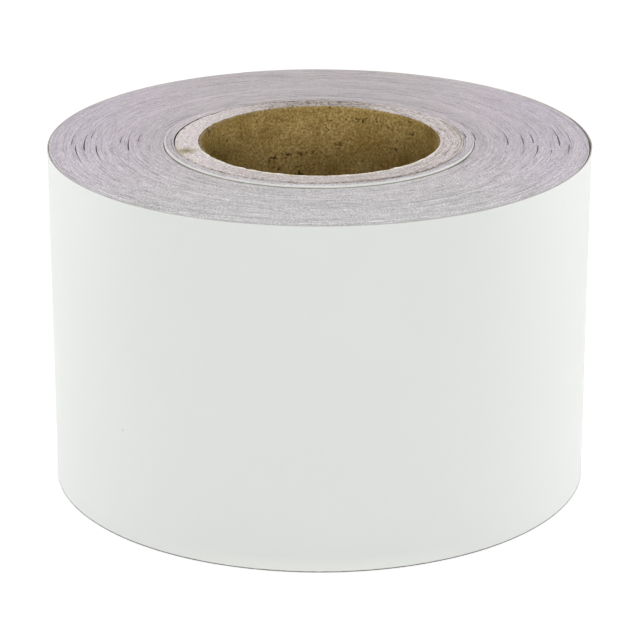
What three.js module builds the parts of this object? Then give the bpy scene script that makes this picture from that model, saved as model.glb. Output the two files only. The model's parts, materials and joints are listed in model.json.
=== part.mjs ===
// A roll of sign vinyl standing on end: a paperboard core, a laminated web (face film on a
// release liner) wound on it, and the web's outer end held down by a short strip of tape.
//
// Millimetres. The roll's axis is Z and it stands on Z = 0. Angles are degrees, counterclockwise
// from +X seen from above. The web is wound counterclockwise from the core to its outer end.
import * as THREE from "three";

// Driving dimensions
const WEB_WIDTH = 111; // the height of the standing roll
const ROLL_RADIUS = 86.8;
const BORE_RADIUS = 38; // a 76 mm bore, for a 3 inch spindle
const CORE_RADIUS = 46.1;
const CORE_RISE = 0.45; // the core has slipped up through the winding by this much
const WRAP_PITCH = 0.34; // one wrap of film, adhesive and liner
const FILM_THICKNESS = 0.1;
const CLEARANCE = 0.02; // between pieces that lie on each other
const FACET_ANGLE = 3; // every round piece has its corners at multiples of this

// Core: a kraft lining, two layers of grey board and an outer ply, outer radius of each
const CORE_PLIES = {
  core_inner_ply: 38.6,
  core_wall_inner: 42.2,
  core_wall_outer: 45.4,
  core_outer_ply: CORE_RADIUS,
};

// First wraps: they stand proud of the winding on top, and are as much short of it below
const FIRST_WRAPS_INNER_RADIUS = 46.4;
const FIRST_WRAPS = [
  { name: "first_wraps", radius: 48, rise: 0.6 },
  { name: "raised_wraps", radius: 49.4, rise: 0.7 },
];

// Winding: bands of wraps between the places where the winding has opened, outer radius of each
const WINDING_BANDS = {
  winding_1: 57.4,
  winding_2: 63,
  winding_3: 69.3,
  winding_4: 74.2,
  winding_5: 80.2,
};
const OUTER_BAND = "winding_6"; // the last band, whose outside follows the spiral

// Start tape: holds the web's first edge on the core
const START_TAPE = { from: 192, to: 216, thickness: 0.15 };

// Outer end of the web. Turns are degrees from one turn before the outer end, which is at 360.
const TAIL_END_ANGLE = 108;
const LAST_WRAP_START = -90; // where the separate last wrap leaves the outer band
const TAIL_HINGES = [282, 294, 306, 318, 330, 342];
const FILM_FLAP_HINGE = 348; // beyond this the film can be peeled off the liner
const END_GAP_ANGLE = 0.02; // half the gap between two pieces that meet end to end

// End tape: half of it on the film's end, the other half on the wrap beneath
const TAPE = { width: 24, halfAngle: 10, thickness: 0.08, rampAngle: 1.2 };

const film = { color: 0xe3e5de, roughness: 0.35, metalness: 0 };
const liner = { color: 0xe9e6df, roughness: 0.6, metalness: 0 };
const woundEdge = { color: 0xbdb4bc, roughness: 0.75, metalness: 0 };
const greyBoard = { color: 0xcbc1bf, roughness: 0.95, metalness: 0 };
const kraft = { color: 0x876f42, roughness: 0.9, metalness: 0 };
const tape = { color: 0xd9d6c4, roughness: 0.4, metalness: 0 };

const roll = new THREE.Group();

function pointAt(radius, angle) {
  const a = THREE.MathUtils.degToRad(angle);
  return new THREE.Vector2(radius * Math.cos(a), radius * Math.sin(a));
}

// Points from one angle to another, with a corner at each multiple of FACET_ANGLE between them.
function arc(radiusAt, from, to, turnOrigin = 0) {
  const angles = [from];
  const next = Math.floor(from / FACET_ANGLE + 1) * FACET_ANGLE;
  for (let a = next; a < to; a += FACET_ANGLE) angles.push(a);
  angles.push(to);
  return angles.map((a) => pointAt(radiusAt(a), turnOrigin + a));
}

function circle(radius) {
  return arc(() => radius, 0, 360 - FACET_ANGLE);
}

function ringShape(innerRadius, outerPoints) {
  const shape = new THREE.Shape(outerPoints);
  shape.holes.push(new THREE.Path(circle(innerRadius)));
  return shape;
}

// A strip of web between two turns, between an inner and an outer surface.
function stripShape(innerAt, outerAt, from, to) {
  const start = from + END_GAP_ANGLE;
  const end = to - END_GAP_ANGLE;
  const outside = arc(outerAt, start, end, TAIL_END_ANGLE);
  const inside = arc(innerAt, start, end, TAIL_END_ANGLE).reverse();
  return new THREE.Shape([...outside, ...inside]);
}

function addPiece(name, shape, bottom, top, material) {
  const geometry = new THREE.ExtrudeGeometry(shape, { depth: top - bottom, bevelEnabled: false });
  const mesh = new THREE.Mesh(geometry, new THREE.MeshStandardMaterial(material));
  mesh.name = name;
  mesh.position.z = bottom;
  roll.add(mesh);
}

// The web's outer surface, which climbs one wrap in each turn, and the surfaces under it.
const filmOutside = (turn) => ROLL_RADIUS - WRAP_PITCH * (1 - turn / 360);
const filmInside = (turn) => filmOutside(turn) - FILM_THICKNESS;
const linerOutside = (turn) => filmInside(turn) - CLEARANCE;
const linerInside = (turn) => filmOutside(turn) - WRAP_PITCH + CLEARANCE;

function addCore() {
  let inner = BORE_RADIUS;
  for (const [name, outer] of Object.entries(CORE_PLIES)) {
    const material = name === "core_inner_ply" ? kraft : greyBoard;
    addPiece(name, ringShape(inner, circle(outer)), CORE_RISE, WEB_WIDTH + CORE_RISE, material);
    inner = outer + CLEARANCE;
  }
}

function addStartTape() {
  const inner = CORE_RADIUS + CLEARANCE;
  const outer = inner + START_TAPE.thickness;
  const outside = arc(() => outer, START_TAPE.from, START_TAPE.to);
  const inside = arc(() => inner, START_TAPE.from, START_TAPE.to).reverse();
  const shape = new THREE.Shape([...outside, ...inside]);
  addPiece("start_tape", shape, CORE_RISE, WEB_WIDTH + CORE_RISE, tape);
}

function addWinding() {
  let inner = FIRST_WRAPS_INNER_RADIUS;
  for (const { name, radius, rise } of FIRST_WRAPS) {
    addPiece(name, ringShape(inner, circle(radius)), rise, WEB_WIDTH + rise, woundEdge);
    inner = radius + CLEARANCE;
  }
  for (const [name, outer] of Object.entries(WINDING_BANDS)) {
    addPiece(name, ringShape(inner, circle(outer)), 0, WEB_WIDTH, woundEdge);
    inner = outer + CLEARANCE;
  }
  const underLastWrap = (turn) => linerInside(turn) - CLEARANCE;
  const outside = arc(underLastWrap, LAST_WRAP_START, LAST_WRAP_START + 360, TAIL_END_ANGLE);
  addPiece(OUTER_BAND, ringShape(inner, outside), 0, WEB_WIDTH, woundEdge);
}

function addWebLength(filmName, linerName, from, filmTo, linerTo) {
  addPiece(filmName, stripShape(filmInside, filmOutside, from, filmTo), 0, WEB_WIDTH, film);
  addPiece(linerName, stripShape(linerInside, linerOutside, from, linerTo), 0, WEB_WIDTH, liner);
}

function addLastWrapAndTail() {
  const firstHinge = TAIL_HINGES[0];
  addWebLength("outer_wrap_film", "outer_wrap_liner", LAST_WRAP_START, firstHinge, firstHinge);
  TAIL_HINGES.forEach((from, i) => {
    const filmTo = TAIL_HINGES[i + 1] ?? FILM_FLAP_HINGE;
    const linerTo = TAIL_HINGES[i + 1] ?? 360;
    addWebLength(`tail_film_${i + 1}`, `tail_liner_${i + 1}`, from, filmTo, linerTo);
  });
  addPiece("film_flap", stripShape(filmInside, filmOutside, FILM_FLAP_HINGE, 360), 0, WEB_WIDTH, film);
}

function addEndTape() {
  const bottom = (WEB_WIDTH - TAPE.width) / 2;
  const top = bottom + TAPE.width;
  const onFilm = (turn) => filmOutside(turn) + CLEARANCE;
  const ramp = (turn) => Math.max(0, 1 - (turn - 360) / TAPE.rampAngle);
  const onWrapBeneath = (turn) => onFilm(turn - 360) + WRAP_PITCH * ramp(turn);
  const overFilm = (turn) => onFilm(turn) + TAPE.thickness;
  const overWrapBeneath = (turn) => onWrapBeneath(turn) + TAPE.thickness;
  const half = stripShape(onFilm, overFilm, 360 - TAPE.halfAngle, 360);
  addPiece("end_tape", half, bottom, top, tape);

  const start = 360 + END_GAP_ANGLE;
  const landing = 360 + TAPE.rampAngle;
  const end = 360 + TAPE.halfAngle;
  const surface = (radiusAt) => [
    pointAt(radiusAt(start), TAIL_END_ANGLE + start),
    ...arc(radiusAt, landing, end, TAIL_END_ANGLE),
  ];
  const tab = new THREE.Shape([...surface(overWrapBeneath), ...surface(onWrapBeneath).reverse()]);
  addPiece("end_tape_tab", tab, bottom, top, tape);
}

addCore();
addStartTape();
addWinding();
addLastWrapAndTail();
addEndTape();

export default roll;
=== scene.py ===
"""The looks of a roll of sign vinyl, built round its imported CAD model. Blender 4.5.

Shapes are worked out in millimetres and turned into metres when a mesh is made. Angles are in
degrees, counterclockwise from +X seen from above. A turn is an angle along the web, counted so
that the web's outer end is at turn 360, and turn 0 lies under it one wrap further in.
"""

import json
import math

import bpy
import numpy as np
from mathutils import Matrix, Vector


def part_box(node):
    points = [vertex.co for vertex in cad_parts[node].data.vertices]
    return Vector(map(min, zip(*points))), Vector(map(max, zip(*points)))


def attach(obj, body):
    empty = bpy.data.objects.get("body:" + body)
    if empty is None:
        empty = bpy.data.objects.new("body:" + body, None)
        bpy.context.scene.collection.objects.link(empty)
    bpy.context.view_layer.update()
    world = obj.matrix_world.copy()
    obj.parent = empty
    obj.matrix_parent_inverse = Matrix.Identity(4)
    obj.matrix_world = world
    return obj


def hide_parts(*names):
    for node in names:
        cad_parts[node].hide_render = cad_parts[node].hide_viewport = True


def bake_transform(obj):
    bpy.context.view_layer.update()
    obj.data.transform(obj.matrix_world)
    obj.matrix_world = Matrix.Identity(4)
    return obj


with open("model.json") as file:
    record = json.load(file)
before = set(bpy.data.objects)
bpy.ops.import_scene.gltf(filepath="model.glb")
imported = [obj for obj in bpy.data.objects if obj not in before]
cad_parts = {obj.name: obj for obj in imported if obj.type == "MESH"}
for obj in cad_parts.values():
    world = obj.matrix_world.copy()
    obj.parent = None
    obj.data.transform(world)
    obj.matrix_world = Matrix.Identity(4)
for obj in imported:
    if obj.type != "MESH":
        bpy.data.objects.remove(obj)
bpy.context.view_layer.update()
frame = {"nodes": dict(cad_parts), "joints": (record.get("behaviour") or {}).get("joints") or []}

MM = 0.001
SEED = 7

# The web
WRAP_PITCH = 0.34
FILM_THICKNESS = 0.1
CLEARANCE = 0.02
WEB_LIFT = 0.03  # how far the last wrap's lower edge stays above the surface the roll stands on

# The end faces
END_COLUMNS = 540  # steps round the roll in the wound end faces
CORE_COLUMNS = 900  # steps round the core
CORE_PLY = 0.82  # thickness of one layer of the core's board
CORE_PLY_FROM = 38.5
CORE_STEP = 0.22  # between rows of points across the core's end
CORE_EDGE = 0.12  # how far the core's corners are rounded
CORE_EDGE_WALL = 1.2  # height of the part of the core's wall next to an end
BORE_ROUNDING = 0.65  # the lining's upper edge is worn round by this much
LIP = 0.12  # height of the burr between the lining and the board
LIP_REACH = 0.6  # how far the burr reaches to either side
OUTER_ROUNDING = 0.4  # the same for the core's outer edge
FIBRE_COUNT = 700
GROOVE_DEPTH = 0.05  # between one wrap's edge and the next
EDGE_WALL = 4.0  # height of the wall next to an end face that can give way to a slit
RING_GAP = 0.22  # round the raised wraps
FIRST_WRAPS_SLOPE = 0.2  # the innermost wrap's edge lies this much lower than the first wraps' top
RING_FOOT = (-0.26, -0.14, -0.06)  # the wraps round the raised ring have sunk
RIM_FROM = 85.7  # wraps outside this radius are a little darker

# Places where the winding has opened: radius, angle where the slit starts thin, angle where it
# ends blunt, widest opening. The two negative openings press the first wraps on the core.
SLITS = [
    (46.4, 138, 212, 0.06),
    (46.4, 130, 10, -0.24),
    (46.4, -75, 12, -0.24),
    (47.1, 168, 203, 0.16),
    (48.0, 176, 214, 0.12),
    (46.9, 14, 2, 0.5),
    (50.0, 24, 1, 0.5),
    (60.2, 14, -4, 0.50),
    (65.2, 10, -3, 0.42),
    (68.4, 9, -2, 0.44),
    (69.6, -17, -3, 0.40),
    (74.1, -15, -7, 0.30),
    (76.6, 13, -4, 0.62),
    (79.6, -11, -2, 0.30),
    (80.2, 8, -1, 0.26),
    (86.1, 16, -7, 0.42),
    (57.9, 171, 181, 0.30),
    (60.9, 172, 190, 0.50),
    (63.3, 173, 182, 0.34),
    (71.2, 198, 183, 0.36),
    (73.0, 170, 178, 0.32),
    (75.0, 173, 188, 0.50),
    (77.5, 198, 183, 0.36),
    (78.8, 174, 183, 0.26),
]
SLIT_DEPTH = 4.0
SLIT_PRESSED = 1.2  # how far from a slit the wraps beside it are squeezed

# The end tape
TAPE_REACH = 10.0  # degrees to either side of the web's end
TAPE_RAMP = 1.2  # degrees over which it steps down from the web's end
TAPE_THICKNESS = 0.08
TAPE_TOOTH = 1.5  # width of a tooth of its torn edge
TAPE_TOOTH_DEPTH = 0.7  # degrees
TAPE_BEND = (359.4, 362)  # turns handed to bend() for the tape's free half, which only bakes the piece's transform

FLAP_BEND = 5  # degrees beyond its hinge handed to bend() for the film's end, which only bakes the piece's transform

# Camera, with its lens and sensor in millimetres, and floor and lamps, in metres and watts
LENS = 166.2
SENSOR = 36
CAMERA_DISTANCE = 11.108  # in radii of the roll
CAMERA_ELEVATION = 20.15
CAMERA_TARGET = (0.00026, 0, 0.05019)
FLOOR_HALF = 6.0
FLOOR_GREY = 0.9
FLOOR_GLOW = 0.4  # keeps the floor as pale as paper
AMBIENT = 0.3
LAMP_AIM = (0, 0, 0.06)
LAMPS = [  # name, place, width, height, power
    ("overhead", (0, 0.1, 1.5), 1.0, 1.0, 7.6),
    ("front_strip", (0, -1.4, 0.38), 2.4, 0.4, 12.6),
    ("left_low", (-1.2, 0.35, 0.16), 0.9, 0.3, 7.3),
    ("right_low", (1.2, 0.35, 0.16), 0.9, 0.3, 8.8),
    ("left_back_low", (-0.9, 0.8, 0.18), 0.9, 0.3, 1.2),
]


# ---------------------------------------------------------------- places in the frame


def radii(node):
    """The inner and outer radius of a round CAD node."""
    distances = [math.hypot(v.co.x, v.co.y) / MM for v in frame["nodes"][node].data.vertices]
    return min(distances), max(distances)


def heights(node):
    low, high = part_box(node)
    return low.z / MM, high.z / MM


def joint_angle(name):
    """The angle round the roll at which a CAD joint stands."""
    joint = next(j for j in frame["joints"] if j["name"] == name)
    return math.degrees(math.atan2(joint["pos_m"][1], joint["pos_m"][0]))


TAIL_END_ANGLE = joint_angle("tape_peel")


def joint_turn(name):
    return (joint_angle(name) - TAIL_END_ANGLE - 1) % 360 + 1


ROLL_RADIUS = radii("film_flap")[1]
WEB_WIDTH = heights("outer_wrap_film")[1]
TAIL_COUNT = sum(name.startswith("tail_film_") for name in frame["nodes"])
WINDING_COUNT = sum(name.startswith("winding_") for name in frame["nodes"])
TAIL_HINGES = [joint_turn(f"tail_hinge_{i + 1}") for i in range(TAIL_COUNT)]
FLAP_HINGE = joint_turn("film_peel")
LAST_WRAP_START = -90
CORE_RADIUS = radii("core_outer_ply")[1]
BORE_RADIUS, LINING_RADIUS = radii("core_inner_ply")
CORE_TOP = heights("core_wall_inner")[1]


def film_outside(turn):
    return ROLL_RADIUS - WRAP_PITCH * (1 - turn / 360)


def film_inside(turn):
    return film_outside(turn) - FILM_THICKNESS


def liner_outside(turn):
    return film_inside(turn) - CLEARANCE / 2


def liner_inside(turn):
    return film_outside(turn) - WRAP_PITCH + CLEARANCE


# ---------------------------------------------------------------- random shapes


def ripples(rng, rows, angles, waves, alike=1):
    """Random curves round the roll, one in each row, that close on themselves. Their deviation
    is about 1, each is a sum of that many waves, and rows next to each other look alike."""
    orders = np.arange(waves + 1)
    phases = np.outer(orders, np.radians(angles))
    curves = 0
    for basis in (np.cos(phases), np.sin(phases)):
        weights = rng.normal(size=(rows + alike - 1, waves + 1))
        blur = np.ones(alike) / math.sqrt(alike)
        weights = np.apply_along_axis(lambda column: np.convolve(column, blur, "valid"), 0, weights)
        curves = curves + weights @ basis
    return curves / math.sqrt(waves + 1)


def smoothstep(low, high, value):
    t = np.clip((value - low) / (high - low), 0, 1)
    return t * t * (3 - 2 * t)


# ---------------------------------------------------------------- meshes


def make_object(name, points, faces, materials, face_parts, attributes=None, crease=35):
    """A mesh object with those points, in millimetres. face_parts picks each face's material."""
    mesh = bpy.data.meshes.new(name)
    mesh.from_pydata((np.asarray(points) * MM).tolist(), [], faces)
    for material in materials:
        mesh.materials.append(material)
    mesh.polygons.foreach_set("material_index", np.asarray(face_parts, dtype=np.int32))
    for key, values in (attributes or {}).items():
        layer = mesh.attributes.new(key, "FLOAT", "POINT")
        layer.data.foreach_set("value", np.asarray(values, dtype=np.float32).ravel())
    mesh.shade_smooth()
    mesh.set_sharp_from_angle(angle=math.radians(crease))
    mesh.validate()
    made = bpy.data.objects.new(name, mesh)
    bpy.context.scene.collection.objects.link(made)
    return made


def make_ring(name, radius_rows, height_rows, angles, materials, row_parts, attributes=None):
    """A closed ring. Each row is one corner of its section all the way round, and the rows go
    up its inner wall, out over its top, down its outer wall and back under it."""
    rows, columns = radius_rows.shape
    a = np.radians(angles)
    points = np.stack([radius_rows * np.cos(a), radius_rows * np.sin(a), height_rows], axis=-1)
    i, j = np.meshgrid(np.arange(rows), np.arange(columns), indexing="ij")
    i_next, j_next = (i + 1) % rows, (j + 1) % columns
    corners = [i * columns + j, i_next * columns + j, i_next * columns + j_next, i * columns + j_next]
    faces = np.stack(corners, axis=-1).reshape(-1, 4).tolist()
    face_parts = np.repeat(row_parts, columns)
    return make_object(name, points.reshape(-1, 3), faces, materials, face_parts, attributes)


def make_sheet(name, inside, outside, materials):
    """A thin closed solid between two grids of points, whose rows go up and whose columns go
    counterclockwise. materials are for its outside, its inside and its cut edges."""
    rows, columns = inside.shape[:2]
    count = rows * columns
    index = np.arange(count).reshape(rows, columns)
    a, b, c, d = index[:-1, :-1], index[:-1, 1:], index[1:, 1:], index[1:, :-1]
    outer_faces = np.stack([a, b, c, d], axis=-1).reshape(-1, 4) + count
    inner_faces = np.stack([a, d, c, b], axis=-1).reshape(-1, 4)
    border = np.concatenate([index[0, :-1], index[:-1, -1], index[-1, :0:-1], index[:0:-1, 0]])
    onward = np.roll(border, -1)
    rim_faces = np.stack([border, onward, onward + count, border + count], axis=-1)
    faces = np.concatenate([outer_faces, inner_faces, rim_faces]).tolist()
    parts = np.repeat([0, 1, 2], [len(outer_faces), len(inner_faces), len(rim_faces)])
    points = np.concatenate([inside.reshape(-1, 3), outside.reshape(-1, 3)])
    return make_object(name, points, faces, materials, parts)


def place(piece, body, node_names):
    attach(piece, body)
    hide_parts(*node_names)


# ---------------------------------------------------------------- shader nodes


def srgb(red, green, blue):
    """A display colour, 0 to 255, as Blender's linear one."""
    shares = (red / 255, green / 255, blue / 255)
    return tuple(s / 12.92 if s <= 0.04045 else ((s + 0.055) / 1.055) ** 2.4 for s in shares) + (1,)


def new_material(name, **sockets):
    """A material with a Principled shader, and its node tree and that shader."""
    material = bpy.data.materials.new(name)
    material.use_nodes = True
    tree = material.node_tree
    shader = tree.nodes["Principled BSDF"]
    for socket, value in sockets.items():
        shader.inputs[socket.replace("_", " ")].default_value = value
    return material, tree, shader


def add_node(tree, kind, inputs, **settings):
    """A node whose inputs, by name or number, are values or other nodes' outputs."""
    node = tree.nodes.new("ShaderNode" + kind)
    for key, value in settings.items():
        setattr(node, key, value)
    for key, value in inputs.items():
        if isinstance(value, bpy.types.NodeSocket):
            tree.links.new(value, node.inputs[key])
        else:
            node.inputs[key].default_value = value
    return node


def calc(tree, operation, *values):
    inputs = dict(enumerate(values))
    return add_node(tree, "Math", inputs, operation=operation).outputs[0]


def mix(tree, share, a, b, blend="MIX"):
    node = add_node(tree, "Mix", {0: share, 6: a, 7: b}, data_type="RGBA", blend_type=blend)
    return node.outputs[2]


def noise(tree, where, scale, detail=3.0, roughness=0.55):
    inputs = {"Vector": where, "Scale": scale, "Detail": detail, "Roughness": roughness}
    return add_node(tree, "TexNoise", inputs).outputs[0]


def remap(tree, value, low, high, to_low=0.0, to_high=1.0):
    """value from low to high becomes to_low to to_high, and goes no further."""
    inputs = {0: value, 1: low, 2: high, 3: to_low, 4: to_high}
    return add_node(tree, "MapRange", inputs).outputs[0]


def coordinates(tree):
    return add_node(tree, "TexCoord", {}).outputs["Object"]


def axis(tree, where, letter):
    """One coordinate of a place."""
    return add_node(tree, "SeparateXYZ", {0: where}).outputs[letter]


def distance(tree, where, point):
    return add_node(tree, "VectorMath", {0: where, 1: point}, operation="DISTANCE").outputs["Value"]


def multiply(tree, colour, factors):
    return mix(tree, 1.0, colour, (*factors, 1), "MULTIPLY")


def connect(tree, shader, **outputs):
    """Links node outputs to the shader's inputs."""
    for socket, output in outputs.items():
        tree.links.new(output, shader.inputs[socket.replace("_", " ")])


def attribute(tree, name):
    return add_node(tree, "Attribute", {}, attribute_name=name).outputs["Fac"]


def bump(tree, height, depth, strength=1.0):
    inputs = {"Height": height, "Distance": depth, "Strength": strength}
    return add_node(tree, "Bump", inputs).outputs[0]


def round_coordinates(tree, round_scale, radial_scale):
    """Coordinates for patterns that run round the roll: slow along a circle, fast across it."""
    where = coordinates(tree)
    flat = add_node(tree, "VectorMath", {0: where, 1: (1, 1, 0)}, operation="MULTIPLY").outputs[0]
    radius = add_node(tree, "VectorMath", {0: flat}, operation="LENGTH").outputs["Value"]
    unit = add_node(tree, "VectorMath", {0: flat}, operation="NORMALIZE").outputs[0]
    around = add_node(tree, "VectorMath", {0: unit, "Scale": round_scale}, operation="SCALE").outputs[0]
    across = add_node(tree, "CombineXYZ", {2: calc(tree, "MULTIPLY", radius, radial_scale)}).outputs[0]
    return add_node(tree, "VectorMath", {0: around, 1: across}, operation="ADD").outputs[0]


# ---------------------------------------------------------------- materials


def film_material(name, dark, light, shade_below, dust_and_shade, shade_share):
    """Smooth satin off-white vinyl with a trace of green. Painted shade greys it up to a height in
    millimetres, and a painted brightening lifts it just above the surface that the roll stands on."""
    material, tree, shader = new_material(name)
    where = coordinates(tree)
    height = axis(tree, where, "Z")
    base = mix(tree, noise(tree, where, 18, 2), dark, light)
    aside = calc(tree, "ABSOLUTE", axis(tree, where, "X"))
    # painted light: brightens the wall's lowest few millimetres near the front, against the shade at the
    # roll's foot
    painted_light = calc(tree, "MULTIPLY", remap(tree, height, 5 * MM, 1 * MM), remap(tree, aside, 55 * MM, 20 * MM))
    base = mix(tree, painted_light, base, multiply(tree, base, (1.1, 1.1, 1.08)))
    waver = remap(tree, noise(tree, where, 500, 3), 0.3, 0.7, -0.06 * MM, 0.06 * MM)
    edge = shade_below * MM
    # painted shade: greys the wall below the given height. On the roll's wall it is a contact shadow at the
    # foot. On the raised ring it is the shade where the ring meets the winding.
    painted_shade = remap(tree, calc(tree, "ADD", height, waver), edge, edge - 0.12 * MM, 0, shade_share)
    base = mix(tree, painted_shade, base, dust_and_shade)
    speck = remap(tree, distance(tree, where, FILM_SPECK), 0.2 * MM, 0.4 * MM)
    base = mix(tree, speck, srgb(70, 68, 62), base)
    roughness = remap(tree, noise(tree, where, 60, 3), 0.3, 0.7, 0.38, 0.46)
    relief = bump(tree, noise(tree, where, 1400, 2), 0.01 * MM, 0.35)
    connect(tree, shader, Base_Color=base, Roughness=roughness, Normal=relief)
    return material


def adhesive_material():
    """The film's grey, tacky back."""
    material, tree, shader = new_material("film_adhesive", Roughness=0.22)
    where = coordinates(tree)
    base = mix(tree, noise(tree, where, 220, 4), srgb(150, 148, 152), srgb(168, 166, 170))
    relief = bump(tree, noise(tree, where, 900, 3), 0.03 * MM, 0.6)
    connect(tree, shader, Base_Color=base, Normal=relief)
    return material


def liner_material():
    """Silicone coated release paper."""
    material, tree, shader = new_material("release_liner", Roughness=0.35)
    fibres = noise(tree, coordinates(tree), 500, 5)
    base = mix(tree, fibres, srgb(222, 217, 206), srgb(236, 232, 222))
    connect(tree, shader, Base_Color=base, Normal=bump(tree, fibres, 0.02 * MM, 0.5))
    return material


def wound_edge_material():
    """The web's cut edges, side by side: liner paper, grey adhesive and white film in each wrap.
    The cut is cleaner at the rear. A painted light tint makes it a little bluer at the sides and
    more neutral at the front."""
    material, tree, shader = new_material("wound_edge", Roughness=0.72)
    where = coordinates(tree)
    layer = attribute(tree, "film_share")
    paper = mix(tree, remap(tree, layer, 0.05, 0.25), srgb(219, 210, 215), srgb(177, 170, 177))
    layers = mix(tree, remap(tree, layer, 0.3, 0.45), paper, srgb(228, 225, 227))

    y = axis(tree, where, "Y")
    worn = remap(tree, y, 80 * MM, -40 * MM, 0.45, 1)
    streaks = remap(tree, noise(tree, round_coordinates(tree, 14, 1900), 1, 2, 0.6), 0.25, 0.75, -0.2, 0.2)
    grain = remap(tree, noise(tree, where, 2300, 1, 0.5), 0.25, 0.75, -0.36, 0.36)
    lines = remap(tree, noise(tree, round_coordinates(tree, 4, 620), 1, 2, 0.6), 0.43, 0.35, 0, -0.14)
    marks = calc(tree, "ADD", calc(tree, "ADD", streaks, grain), lines)
    shade = calc(tree, "ADD", 1.02, calc(tree, "MULTIPLY", marks, worn))
    shade = calc(tree, "ADD", shade, calc(tree, "MULTIPLY", attribute(tree, "wrap_tone"), 0.05))
    toned = add_node(tree, "VectorMath", {0: layers, "Scale": shade}, operation="SCALE").outputs[0]

    # painted light: a tint by place, lighter and bluer at the sides, darker in the middle and at the front
    beside = remap(tree, calc(tree, "ABSOLUTE", axis(tree, where, "X")), 30 * MM, 70 * MM)
    painted_light_tint = mix(tree, beside, (0.95, 0.95, 0.93, 1), (1.045, 1.035, 1.075, 1))
    painted_light_tint = mix(tree, remap(tree, y, -30 * MM, -80 * MM), painted_light_tint, (0.956, 0.995, 0.966, 1))
    toned = mix(tree, 1.0, toned, painted_light_tint, "MULTIPLY")
    dust_and_shade = noise(tree, where, 900, 2, 0.5)
    toned = mix(tree, remap(tree, dust_and_shade, 0.73, 0.80), toned, srgb(232, 230, 228))
    toned = mix(tree, remap(tree, dust_and_shade, 0.27, 0.22, 0, 0.6), toned, srgb(120, 114, 118))
    fine = noise(tree, round_coordinates(tree, 60, 5200), 1, 2)
    connect(tree, shader, Base_Color=toned, Normal=bump(tree, fine, 0.04 * MM, 0.5))
    return material


def bore_painted_shade_share(tree, where):
    """Where painted shade darkens the bore's lining: near its upper edge, and at its left and right."""
    near_rim = remap(tree, axis(tree, where, "Z"), (CORE_TOP - 8) * MM, (CORE_TOP - 1) * MM)
    x = axis(tree, where, "X")
    off_centre = remap(tree, calc(tree, "ABSOLUTE", x), 8 * MM, 30 * MM, 0.4, 1)
    near_rim = calc(tree, "MULTIPLY", near_rim, off_centre)
    left = remap(tree, x, -20 * MM, -32 * MM, 0, 0.75)
    right = remap(tree, x, 16 * MM, 32 * MM, 0, 0.55)
    return calc(tree, "MAXIMUM", near_rim, calc(tree, "ADD", left, right))


def kraft_material():
    """Brown recycled paper with blotches, a fine grain, dark flecks and a few pale fibres."""
    material, tree, shader = new_material("kraft_ply", Roughness=0.85, Specular_IOR_Level=0.15)
    where = coordinates(tree)
    blotches = remap(tree, noise(tree, where, 55, 4, 0.6), 0.34, 0.66)
    grain = noise(tree, where, 1300, 4, 0.7)
    base = mix(tree, blotches, srgb(172, 143, 80), srgb(224, 195, 130))
    base = mix(tree, remap(tree, grain, 0.56, 0.34, 0, 0.85), base, srgb(120, 92, 40))
    base = mix(tree, remap(tree, grain, 0.56, 0.72, 0, 0.7), base, srgb(240, 218, 160))
    picked = noise(tree, where, 90, 2)
    flecks = remap(tree, noise(tree, where, 330, 4, 0.65), 0.405, 0.35)
    flecks = calc(tree, "MULTIPLY", flecks, remap(tree, picked, 0.44, 0.56, 0.2, 0.9))
    base = mix(tree, flecks, base, srgb(66, 46, 14))
    pale = add_node(tree, "TexVoronoi", {"Vector": where, "Scale": 170.0}).outputs["Distance"]
    pale = calc(tree, "MULTIPLY", remap(tree, pale, 0.11, 0.07), remap(tree, picked, 0.46, 0.4))
    base = mix(tree, pale, base, srgb(250, 238, 196))
    # painted shade: darkens the lining near the bore's upper edge and at its left and right
    base = mix(tree, bore_painted_shade_share(tree, where), base, multiply(tree, base, (0.57, 0.55, 0.43)))
    # painted shade: darker, browner lining 23 to 27 mm below the core's top, where the bore lies in shadow
    deep_painted_shade = remap(tree, axis(tree, where, "Z"), (CORE_TOP - 23) * MM, (CORE_TOP - 27) * MM, 0, 0.6)
    base = mix(tree, deep_painted_shade, base, srgb(96, 72, 30))
    relief = calc(tree, "ADD", grain, noise(tree, where, 1500, 4, 0.7))
    connect(tree, shader, Base_Color=base, Normal=bump(tree, relief, 0.15 * MM, 0.7))
    return material


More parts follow.
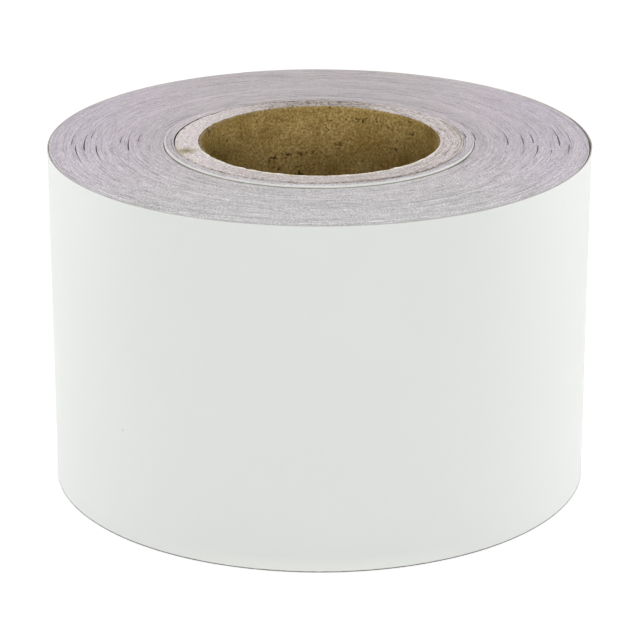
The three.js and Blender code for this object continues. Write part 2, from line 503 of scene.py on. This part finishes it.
def board_material():
    """The core's cut end: pulp board whose plies show most at the right, lighter at the left and a
    little at the right, darker where it is torn, and stained by the start tape's glue at one place."""
    material, tree, shader = new_material("board_edge", Roughness=0.9, Specular_IOR_Level=0.2)
    where = coordinates(tree)
    x = axis(tree, where, "X")
    pulp = noise(tree, where, 1300, 4, 0.65)
    base = mix(tree, remap(tree, pulp, 0.32, 0.68), srgb(190, 179, 177), srgb(255, 247, 245))
    plies = remap(tree, noise(tree, round_coordinates(tree, 2.5, 1250), 1, 1), 0.44, 0.30, 0, 0.6)
    plies = calc(tree, "MULTIPLY", plies, remap(tree, x, -30 * MM, 0, 0.1, 1))
    base = mix(tree, plies, base, srgb(150, 136, 124))
    parted = remap(tree, noise(tree, round_coordinates(tree, 8, 1700), 1, 1), 0.41, 0.35)
    parted = calc(tree, "MULTIPLY", parted, remap(tree, x, 16 * MM, 34 * MM, 0.1, 0.6))
    base = mix(tree, parted, base, srgb(128, 114, 104))
    bright = multiply(tree, base, (1.26, 1.25, 1.29))
    base = mix(tree, remap(tree, x, -22 * MM, -40 * MM), base, bright)
    base = mix(tree, remap(tree, x, 22 * MM, 40 * MM, 0, 0.45), base, bright)
    # painted highlight: the pale attribute whitens the burr at the front; on the outer ply it pales the edge
    # at the sides
    base = mix(tree, attribute(tree, "pale"), base, srgb(255, 250, 238))

    torn = attribute(tree, "torn")
    base = mix(tree, calc(tree, "MULTIPLY", torn, 0.35), base, srgb(160, 146, 130))
    marks = remap(tree, noise(tree, round_coordinates(tree, 30, 900), 1, 3, 0.7), 0.52, 0.42)
    marks = calc(tree, "MULTIPLY", marks, remap(tree, torn, 0, 1, 0.2, 0.8))
    base = mix(tree, marks, base, srgb(112, 98, 84))
    blur = calc(tree, "MULTIPLY", calc(tree, "SUBTRACT", pulp, 0.5), 6 * MM)
    away = calc(tree, "ADD", distance(tree, where, GLUE_STAIN), blur)
    base = mix(tree, remap(tree, away, 4.5 * MM, 1.5 * MM, 0, 0.8), base, srgb(186, 172, 140))
    base = mix(tree, remap(tree, away, 1.2 * MM, 0.2 * MM, 0, 0.85), base, srgb(104, 86, 78))
    relief = calc(tree, "ADD", pulp, noise(tree, where, 2200, 3, 0.7))
    connect(tree, shader, Base_Color=base, Normal=bump(tree, relief, 0.1 * MM, 0.6))
    return material


def mottled_material(name, scale, detail, dark, light, **sockets):
    """A small or hidden part: two colours in a soft mottle."""
    material, tree, shader = new_material(name, **sockets)
    mottle = noise(tree, coordinates(tree), scale, detail)
    connect(tree, shader, Base_Color=mix(tree, mottle, dark, light))
    return material


def end_tape_material():
    """Creped paper tape."""
    material, tree, shader = new_material("end_tape", Roughness=0.62)
    fibres = noise(tree, coordinates(tree), 700, 4)
    base = mix(tree, fibres, srgb(214, 200, 160), srgb(230, 218, 184))
    crepe = noise(tree, round_coordinates(tree, 260, 10), 1, 3, 0.5)
    connect(tree, shader, Base_Color=base, Normal=bump(tree, crepe, 0.06 * MM, 0.8))
    return material


def on_roll(radius, angle, height):
    """A point in the row frame, in metres, from a radius, an angle and a height."""
    a = math.radians(angle)
    return (radius * math.cos(a) * MM, radius * math.sin(a) * MM, height * MM)


FILM_SPECK = on_roll(ROLL_RADIUS, 225.6, 36.7)
GLUE_STAIN = on_roll(43.6, 196, CORE_TOP)

# painted shadow: the wall's lowest 0.45 mm is grey, a contact shadow at the roll's foot
FILM = film_material(
    "face_film", srgb(199, 201, 198), srgb(202, 204, 202), 0.45, srgb(104, 104, 101), 0.97
)
# painted light: a brighter copy of the film for the raised ring's outer wall, which gets less light; below
# the web's width it is greyed with painted shade
RING_FILM_PAINTED_LIGHT_AND_SHADE = film_material(
    "ring_film_painted_light_and_shade", srgb(234, 237, 229), srgb(239, 241, 235), WEB_WIDTH + 0.1, srgb(150, 153, 140), 0.8
)
ADHESIVE = adhesive_material()
LINER = liner_material()
WOUND_EDGE = wound_edge_material()
KRAFT = kraft_material()
# Painted shade: a dark brown mottle for the core's outside and the web's back that lies against it, standing
# for the shade in the gap between them
GAP_SHADE_KRAFT = mottled_material(
    "gap_shade_kraft", 400, 4, srgb(60, 50, 34), srgb(112, 98, 70), Roughness=0.8, Specular_IOR_Level=0.1
)
BOARD = board_material()
FIBRE = mottled_material(
    "paper_fibre", 900, 2, srgb(128, 112, 78), srgb(206, 194, 162), Roughness=0.9, Specular_IOR_Level=0.2
)
START_TAPE = mottled_material(
    "start_tape", 250, 3, srgb(226, 210, 150), srgb(250, 242, 204), Roughness=0.3
)
END_TAPE = end_tape_material()


# ---------------------------------------------------------------- the core


def torn_share(angles):
    """Where the core's cut end is torn and darker: round its rear."""
    return smoothstep(0.84, 0.99, np.sin(np.radians(angles)))


def shape_at(radius, angles):
    """How far the core's cut end stands above its general level: a worn inner edge, a burr beside
    it, and an outer edge that is rounded everywhere but at the right."""
    worn = BORE_ROUNDING * max(0.0, (LINING_RADIUS - radius) / (LINING_RADIUS - BORE_RADIUS)) ** 2
    burr = LIP * max(0.0, 1 - abs(radius - LINING_RADIUS) / LIP_REACH)
    past = max(0.0, (radius - CORE_RADIUS + OUTER_ROUNDING) / OUTER_ROUNDING)
    rounded = OUTER_ROUNDING * past**2 * smoothstep(0.7, -0.1, np.cos(np.radians(angles)))
    return burr - worn - rounded


def lip_painted_highlight(radius, a):
    """The burr at the front is painted near white, a painted highlight on the lining's edge."""
    return smoothstep(0.9, 0.4, np.abs(radius - LINING_RADIUS)) * smoothstep(-0.1, 0.5, -np.sin(a))


def pale_edge(radius, a):
    """The outer ply's edge is paler at the sides."""
    return 0.4 * np.abs(np.cos(a)) ** 3 + 0 * radius


def board_roughness(rng, across, angles):
    """How far each point of the core's cut end stands off: torn at the rear, with gaps between
    the plies here and there, mostly at the right."""
    shape = (len(across), len(angles))
    rough = 0.03 * rng.normal(size=shape) * (1 + 1.5 * torn_share(angles))
    rough += 0.05 * ripples(rng, len(across), angles, 60, alike=2)
    ply_line = np.exp(-((((across - CORE_PLY_FROM) % CORE_PLY - CORE_PLY / 2) / 0.12) ** 2))
    facing_right = 0.5 + 0.5 * np.cos(np.radians(angles - 15))
    open_plies = np.clip(ripples(rng, len(across), angles, 9, alike=3), 0, 1.5) * (0.05 + facing_right)
    return rough - 0.2 * ply_line[:, None] * open_plies


def make_core_ply(node, wall_material, pale_at):
    """One layer of the core: plain walls and rough cut ends."""
    inner, outer = radii(node)
    bottom, top = heights(node)
    rng = np.random.default_rng([SEED, round(inner * 10)])
    angles = np.arange(CORE_COLUMNS) * 360 / CORE_COLUMNS
    across = np.linspace(inner, outer, max(3, round((outer - inner) / CORE_STEP)) + 1)
    rough = board_roughness(rng, across, angles)
    ragged = 0.06 * ripples(rng, 1, angles, 120)[0] * (node == "core_inner_ply")

    def row(radius, height):
        return np.broadcast_to(radius, CORE_COLUMNS), np.broadcast_to(height, CORE_COLUMNS)

    low, high = bottom + CORE_EDGE_WALL, top - CORE_EDGE_WALL
    upward = [row(inner, z) for z in np.linspace(low, high, 28)]
    downward = [row(outer, z) for z in np.linspace(high, low, 4)]
    over = [row(r, top + rough[k] + shape_at(r, angles)) for k, r in enumerate(across)]
    under = [row(r, bottom + 0.1 + np.abs(rough[k])) for k, r in reversed(list(enumerate(across)))]
    over[0] = row(inner + CORE_EDGE / 2 + ragged, over[0][1])
    over[-1] = row(outer - CORE_EDGE / 3, over[-1][1])
    corner_in = row(inner, top - CORE_EDGE + shape_at(inner, angles))
    corner_out = row(outer, top - CORE_EDGE + shape_at(outer, angles))
    section = [*upward, corner_in, *over, corner_out, *downward, *under]
    parts = [0] * len(upward) + [1] * (len(over) + 1) + [0] * (len(downward) + 1) + [1] * len(under)
    parts[-1] = 0
    if node == "core_inner_ply":
        parts = [0] * len(parts)
    radius_rows = np.stack([r for r, _ in section])
    height_rows = np.stack([h for _, h in section])
    darkened = torn_share(angles)
    if node == "core_outer_ply":
        darkened = np.maximum(darkened, smoothstep(0.2, 0.8, -np.sin(np.radians(angles))))
    torn = np.broadcast_to(darkened, radius_rows.shape)
    pale = pale_at(radius_rows, np.radians(angles))
    materials, attributes = [wall_material, BOARD], {"torn": torn, "pale": pale}
    ring = make_ring(node, radius_rows, height_rows, angles, materials, parts, attributes)
    place(ring, "roll", [node])


def make_core():
    make_core_ply("core_inner_ply", KRAFT, lip_painted_highlight)
    make_core_ply("core_wall_inner", BOARD, lip_painted_highlight)
    make_core_ply("core_wall_outer", BOARD, lip_painted_highlight)
    # the outer ply's wall, seen only in the gap round the core, is painted shade
    make_core_ply("core_outer_ply", GAP_SHADE_KRAFT, pale_edge)


def fibre_points(rng, top):
    """Nine points of one short paper fibre: three corners at its root, its middle and its tip."""
    angle = rng.normal(155, 38) if rng.random() < 0.75 else rng.uniform(0, 360)
    length = rng.uniform(0.3, 1.3)
    heading = math.radians(rng.uniform(-70, 70))
    droop = rng.uniform(-0.25, 0.2)
    radius = BORE_RADIUS + rng.uniform(0.05, 0.55)
    root = np.array([radius, 0, top + shape_at(radius, angle) - 0.02])
    along = np.array([-math.cos(heading), math.sin(heading), 0])
    side = np.array([along[1], -along[0], 0])
    a = math.radians(angle)
    turn = np.array([[math.cos(a), -math.sin(a), 0], [math.sin(a), math.cos(a), 0], [0, 0, 1]])
    points = []
    for share, width in ((0, 0.045), (0.5, 0.035), (1, 0.012)):
        middle = root + along * length * share + np.array([0, 0, droop * length * share**2])
        for offset in (side * width, np.array([0, 0, width]), -side * width):
            points.append(turn @ (middle + offset))
    return points


def make_rim_fibres():
    """Fibres that stand out over the bore's upper edge, thickest at its left and rear."""
    rng = np.random.default_rng([SEED, 77])
    top = heights("core_inner_ply")[1]
    points, faces = [], []
    for _ in range(FIBRE_COUNT):
        first = len(points)
        points.extend(fibre_points(rng, top))
        for ring in (0, 3):
            for k in range(3):
                here, beside = first + ring + k, first + ring + (k + 1) % 3
                faces.append((here, beside, beside + 3, here + 3))
        faces.append((first + 2, first + 1, first))
        faces.append((first + 6, first + 7, first + 8))
    fibres = make_object("rim_fibres", points, faces, [FIBRE], [0] * len(faces))
    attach(fibres, "roll")


def make_start_tape():
    """The tape under the web's first edge. Its upper end stands a little above the core at one
    side and is torn away at the other."""
    inner, outer = radii("start_tape")
    bottom = heights("start_tape")[0]
    vertices = frame["nodes"]["start_tape"].data.vertices
    corners = [math.degrees(math.atan2(v.co.y, v.co.x)) % 360 for v in vertices]
    angles = np.linspace(min(corners) - 4, max(corners), 73)
    torn_edge = 0.1 * np.sin(np.radians(angles * 31)) + 0.06 * np.sin(np.radians(angles * 83))
    top = CORE_TOP + 0.08 - 0.6 * smoothstep(200, 206, angles) + torn_edge
    z = np.linspace(0, 1, 9)[:, None] * (top - bottom) + bottom
    a = np.radians(angles)
    grids = [np.stack([np.cos(a) * r + 0 * z, np.sin(a) * r + 0 * z, z], axis=-1) for r in (inner, outer)]
    sheet = make_sheet("start_tape", *grids, [START_TAPE] * 3)
    place(sheet, "roll", ["start_tape"])


# ---------------------------------------------------------------- the winding


class Band:
    """A ring of wraps between two radii."""

    def __init__(self, node, inner, outer):
        self.node = node
        self.bottom, self.top = heights(node)
        self.count = max(1, round((outer - inner) / WRAP_PITCH))
        self.pitch = (outer - inner) / self.count
        self.edges = inner + self.pitch * np.arange(self.count + 1)


def make_bands():
    names = ["first_wraps", "raised_wraps"] + [f"winding_{i + 1}" for i in range(WINDING_COUNT)]
    bands = []
    for name in names:
        inner, outer = radii(name)
        if name == "winding_1":
            inner += RING_GAP
        if name == f"winding_{WINDING_COUNT}":
            # Room for the last wrap, which starts 1.25 wraps in and is a wrap thick itself
            outer = ROLL_RADIUS - 2.25 * WRAP_PITCH - CLEARANCE
        bands.append(Band(name, inner, outer))
    return bands


def slit_radius(bands, radius):
    """The boundary between two wraps that is nearest to radius."""
    edges = np.concatenate([band.edges for band in bands])
    return edges[np.argmin(np.abs(edges - radius))]


def slit_opening(slit, angles):
    """How far a slit is open at each angle, from 0 to 1: it widens from its thin end and closes
    quickly at its blunt one."""
    _, thin, blunt, _ = slit
    middle = (thin + blunt) / 2
    near = (angles - middle + 180) % 360 - 180 + middle
    t = np.clip((near - thin) / (blunt - thin), 0, 1)
    return 1.35 * t * (1 - t**7)


def pushed_apart(rows, outward, angles, slits):
    """The rows' radii at each angle, once the wraps beside each slit have been pushed apart.
    outward is 1 for a row outside the slit, -1 for one inside it and 0 for its own groove. Close
    to the core, which doesn't give way, the wraps outside a slit do most of the moving."""
    moved = np.repeat(rows[:, None], len(angles), axis=1)
    for number, slit in enumerate(slits):
        radius, _, _, width = slit
        inward_part = 0.5 * np.clip((radius - CORE_RADIUS) / 5, 0, 1)
        part = np.where(outward[number] > 0, 1 - inward_part, -inward_part) * np.abs(outward[number])
        share = np.exp(-np.abs(rows - radius) / SLIT_PRESSED) * part
        moved += width * share[:, None] * slit_opening(slit, angles)[None, :]
    return moved


def wound_end(band, angles, heights_by_wrap, slits):
    """The cut edges of a band's wraps, from its inner radius to its outer one. Returns radii and
    heights above the band's end, one row for each line of corners, and each row's film share and wrap."""
    fractions = np.array([0.0, 0.12, 0.60, 0.88])
    shares = np.array([0.5, 0.0, 0.0, 1.0])
    rows, wrap_of_row, share_rows = [], [], []
    for wrap in range(band.count):
        rows.extend(band.edges[wrap] + fractions * band.pitch)
        wrap_of_row.extend([wrap] * 4)
        share_rows.extend(shares)
    rows.append(band.edges[-1])
    wrap_of_row.append(band.count - 1)
    share_rows.append(0.9)
    rows, wrap_of_row = np.array(rows), np.array(wrap_of_row)

    middles = band.edges[wrap_of_row] + band.pitch / 2
    outward = [np.sign(middles - radius) for radius, *_ in slits]
    grooves = np.arange(4, len(rows) - 1, 4)
    for number, (radius, *_) in enumerate(slits):
        at_slit = grooves[np.abs(rows[grooves] - radius) < 1e-6]
        outward[number][at_slit] = 0
    radius_rows = pushed_apart(rows, outward, angles, slits)

    height_rows = heights_by_wrap[wrap_of_row].copy()
    height_rows[grooves] = np.minimum(height_rows[grooves], height_rows[grooves - 1]) - GROOVE_DEPTH
    height_rows[[0, -1]] -= GROOVE_DEPTH
    for slit in slits:
        at_slit = grooves[np.abs(rows[grooves] - slit[0]) < 1e-6]
        height_rows[at_slit] -= SLIT_DEPTH * smoothstep(0.0, 0.35, slit_opening(slit, angles))
    return radius_rows, height_rows, np.array(share_rows), wrap_of_row


def edge_heights(rng, count, angles, scale):
    """How high each wrap's edge stands. Most wraps are level within a few hundredths of a
    millimetre, groups of them rise and fall together, and some have sunk or come up further."""
    level = 0.03 * ripples(rng, count, angles, 12) + 0.05 * ripples(rng, count, angles, 4, alike=6)
    sunk = 0.22 * smoothstep(1.1, 2.2, ripples(rng, count, angles, 9))
    proud = 0.14 * smoothstep(1.3, 2.4, ripples(rng, count, angles, 9))
    return scale * (level + proud - sunk)


def wrap_levels(band):
    """How far each wrap's edge stands above the band's top as a rule."""
    levels = np.zeros(band.count)
    if band.node == "first_wraps":
        levels -= np.linspace(FIRST_WRAPS_SLOPE, 0, band.count)
    if band.node == "winding_1":
        levels[: len(RING_FOOT)] += RING_FOOT
    return levels[:, None]


def wrap_tones(band, tones, angles):
    """Adds to how light each wrap's edge is: dark at the roll's rim, light at the left of the
    first wraps, and a light outermost wrap on the raised ring."""
    tones[band.edges[:-1] > RIM_FROM] -= 1.6
    if band.node == "first_wraps":
        return 1.6 * tones + 2.4 * smoothstep(0.2, 0.9, -np.cos(np.radians(angles)))
    if band.node == "raised_wraps":
        tones[-1] += 3.5
        tones[-2] -= 2
    return tones


def make_band(band, slits):
    """One ring of wraps. Only the parts of its walls near an end give way to the slits."""
    rng = np.random.default_rng([SEED, band.count, int(band.edges[0])])
    angles = np.arange(END_COLUMNS) * 360 / END_COLUMNS
    over = edge_heights(rng, band.count, angles, 1.0) + wrap_levels(band)
    under = np.abs(edge_heights(rng, band.count, angles, 0.6))

    top_radii, top_heights, top_shares, top_wraps = wound_end(band, angles, over, slits)
    low_radii, low_heights, low_shares, low_wraps = wound_end(band, angles, -under, [])
    inner, outer = np.full((1, len(angles)), band.edges[0]), np.full((1, len(angles)), band.edges[-1])
    walls = [np.full((1, len(angles)), z) for z in (band.bottom + EDGE_WALL, band.top - EDGE_WALL)]

    radius_rows = np.concatenate([inner, inner, top_radii, outer, outer, low_radii[::-1]])
    height_rows = np.concatenate(
        [*walls, band.top + top_heights, walls[1], walls[0], band.bottom - low_heights[::-1]]
    )
    shares = np.concatenate([[0, 0], top_shares, [1, 1], low_shares[::-1]])
    tones = wrap_tones(band, ripples(rng, band.count, angles, 5), angles)
    flat = np.zeros((2, len(angles)))
    tone_rows = np.concatenate([flat, tones[top_wraps], flat, tones[low_wraps[::-1]]])
    share_rows = np.repeat(shares[:, None], len(angles), axis=1)
    row_parts = np.zeros(len(radius_rows), dtype=int)
    first_outer = 2 + len(top_radii) - 1
    row_parts[first_outer : first_outer + 3] = 1
    row_parts[[0, 1, -1]] = 2
    outside = RING_FILM_PAINTED_LIGHT_AND_SHADE if band.node == "raised_wraps" else FILM
    # the first wraps' inner wall, seen only in the gap by the core, is painted shade
    inside = GAP_SHADE_KRAFT if band.node == "first_wraps" else LINER
    materials = [WOUND_EDGE, outside, inside]
    attributes = {"film_share": share_rows, "wrap_tone": tone_rows}
    ring = make_ring(band.node, radius_rows, height_rows, angles, materials, row_parts, attributes)
    place(ring, "roll", [band.node])


def make_winding():
    bands = make_bands()
    slits = [(slit_radius(bands, radius), thin, blunt, width) for radius, thin, blunt, width in SLITS]
    for band in bands:
        make_band(band, slits)


# ---------------------------------------------------------------- the last wrap and its end


def web_waver(turn, height):
    """How far the last wrap stands off a true spiral."""
    slow = 0.03 * np.sin(np.radians(2.7 * turn) + 0.02 * height)
    fast = 0.012 * np.sin(np.radians(9.1 * turn) - 0.05 * height)
    return slow + fast


def rim_opening(turn):
    """How far the last wrap's upper edge stands off at the slit beside it."""
    slit = next(s for s in SLITS if s[0] > RIM_FROM)
    return 0.5 * slit[3] * slit_opening(slit, turn + TAIL_END_ANGLE)


def web_grid(radius_at, turns):
    """Points of one face of the last wrap, from its lower edge to its upper one."""
    wobble = 0.03 * np.sin(np.radians(5.3 * turns)) + 0.02 * np.sin(np.radians(17.9 * turns))
    low, high = WEB_LIFT + 0.3 * (wobble + 0.05), WEB_WIDTH + wobble
    levels = np.concatenate([[0, 0.01], np.linspace(0.04, 0.96, 18), [0.985, 1]])[:, None]
    z = low + levels * (high - low)
    r = radius_at(turns) + web_waver(turns, z) + rim_opening(turns) * smoothstep(0.95, 1, levels)
    a = np.radians(turns + TAIL_END_ANGLE)
    return np.stack([r * np.cos(a), r * np.sin(a), z], axis=-1)


def make_web(name, layer, start, end):
    """A length of the last wrap's film or liner between two turns."""
    turns = np.linspace(start, end, max(9, round(end - start) + 1))
    if layer == "film":
        faces, materials = (film_inside, film_outside), [FILM, ADHESIVE, FILM]
    else:
        faces, materials = (liner_inside, liner_outside), [LINER, LINER, LINER]
    return make_sheet(name, *(web_grid(face, turns) for face in faces), materials)


def bend(piece, body_a, body_b, start, end):
    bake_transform(piece)


def make_last_wrap_and_tail():
    """Each piece of the tail reaches from the middle of one stiff length to the middle of the
    next. bend() only bakes each piece's transform in place."""
    stops = [a + (b - a) / 2 for a, b in zip(TAIL_HINGES, TAIL_HINGES[1:])]
    starts = [2 * TAIL_HINGES[0] - stops[0], *stops]
    flap_start = (TAIL_HINGES[-1] + FLAP_HINGE) / 2
    for layer, slot in (("film", "face_film"), ("liner", "release_liner")):
        wrap = make_web(f"outer_wrap_{layer}", layer, LAST_WRAP_START, starts[0])
        place(wrap, "roll", [f"outer_wrap_{layer}"])
        last_end = flap_start if layer == "film" else 360
        for number, (start, end) in enumerate(zip(starts, [*stops, last_end]), 1):
            name = f"tail_{layer}_{number}"
            piece = make_web(name, layer, start, end)
            before = "roll" if number == 1 else f"tail_{number - 1}"
            bend_end = min(end, 2 * TAIL_HINGES[number - 1] - start)
            bend(piece, before, f"tail_{number}", start, bend_end)
            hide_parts(name)
    flap = make_web("film_flap", "film", flap_start, 360)
    bend(flap, f"tail_{TAIL_COUNT}", "film_flap", FLAP_HINGE, FLAP_HINGE + FLAP_BEND)
    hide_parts("film_flap")


def make_end_tape():
    """A strip of creped tape over the web's end, torn off against a toothed edge."""
    low, high = heights("end_tape")
    z = np.linspace(low, high, 73)[:, None]
    teeth = TAPE_TOOTH_DEPTH / 2 * np.abs((z / TAPE_TOOTH) % 1 - 0.5)
    share = np.linspace(0, 1, 81)[None, :]
    turns = 360 - TAPE_REACH + teeth + share * (2 * TAPE_REACH - 0.2)
    drop = WRAP_PITCH * smoothstep(0, TAPE_RAMP, np.maximum(turns - 360, 0))
    waver = np.where(turns < 360, web_waver(turns, z), web_waver(turns - 360, z))
    inside = film_outside(turns) + CLEARANCE / 2 - drop + waver
    crinkle = 0.012 * np.sin(np.radians(turns * 97 + 40 * np.sin(z * 0.9)))
    a = np.radians(turns + TAIL_END_ANGLE)

    def grid(radius):
        return np.stack([radius * np.cos(a), radius * np.sin(a), z + 0 * turns], axis=-1)

    outside = inside + TAPE_THICKNESS + crinkle
    piece = make_sheet("end_tape", grid(inside), grid(outside), [END_TAPE] * 3)
    bend(piece, "film_flap", "tape_tab", *TAPE_BEND)
    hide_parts("end_tape", "end_tape_tab")


# ---------------------------------------------------------------- stage, light and camera


def make_floor():
    mesh = bpy.data.meshes.new("floor")
    corners = [(x * FLOOR_HALF, y * FLOOR_HALF, 0) for x, y in ((-1, -1), (1, -1), (1, 1), (-1, 1))]
    mesh.from_pydata(corners, [], [(0, 1, 2, 3)])
    material, _, shader = new_material("floor", Roughness=0.9, Emission_Strength=FLOOR_GLOW)
    shader.inputs["Base Color"].default_value = (FLOOR_GREY, FLOOR_GREY, FLOOR_GREY, 1)
    shader.inputs["Emission Color"].default_value = (1, 1, 1, 1)
    mesh.materials.append(material)
    floor = bpy.data.objects.new("floor", mesh)
    bpy.context.scene.collection.objects.link(floor)


def make_light(name, place_at, width, height, power):
    """A soft lamp aimed at the roll."""
    data = bpy.data.lights.new(name, "AREA")
    data.shape = "RECTANGLE"
    data.size = width
    data.size_y = height
    data.energy = power
    lamp = bpy.data.objects.new(name, data)
    lamp.location = place_at
    aim = Vector(LAMP_AIM) - Vector(place_at)
    lamp.rotation_euler = aim.to_track_quat("-Z", "Y").to_euler()
    bpy.context.scene.collection.objects.link(lamp)


def make_lights():
    world = bpy.data.worlds.new("studio")
    world.use_nodes = True
    background = world.node_tree.nodes["Background"]
    background.inputs["Color"].default_value = (1, 1, 1, 1)
    background.inputs["Strength"].default_value = AMBIENT
    bpy.context.scene.world = world
    for lamp in LAMPS:
        make_light(*lamp)
    bpy.context.scene.view_settings.view_transform = "Standard"


def make_camera():
    """Looks along +Y and down, from far enough for a long lens."""
    elevation = math.radians(CAMERA_ELEVATION)
    target = Vector(CAMERA_TARGET)
    data = bpy.data.cameras.new("camera")
    data.sensor_width = SENSOR
    data.lens = LENS
    camera = bpy.data.objects.new("camera", data)
    back = Vector((0, -math.cos(elevation), math.sin(elevation)))
    camera.location = target + CAMERA_DISTANCE * ROLL_RADIUS * MM * back
    camera.rotation_euler = (math.pi / 2 - elevation, 0, 0)
    bpy.context.scene.collection.objects.link(camera)
    bpy.context.scene.camera = camera


make_camera()
make_lights()
make_floor()
make_core()
make_rim_fibres()
make_start_tape()
make_winding()
make_last_wrap_and_tail()
make_end_tape()
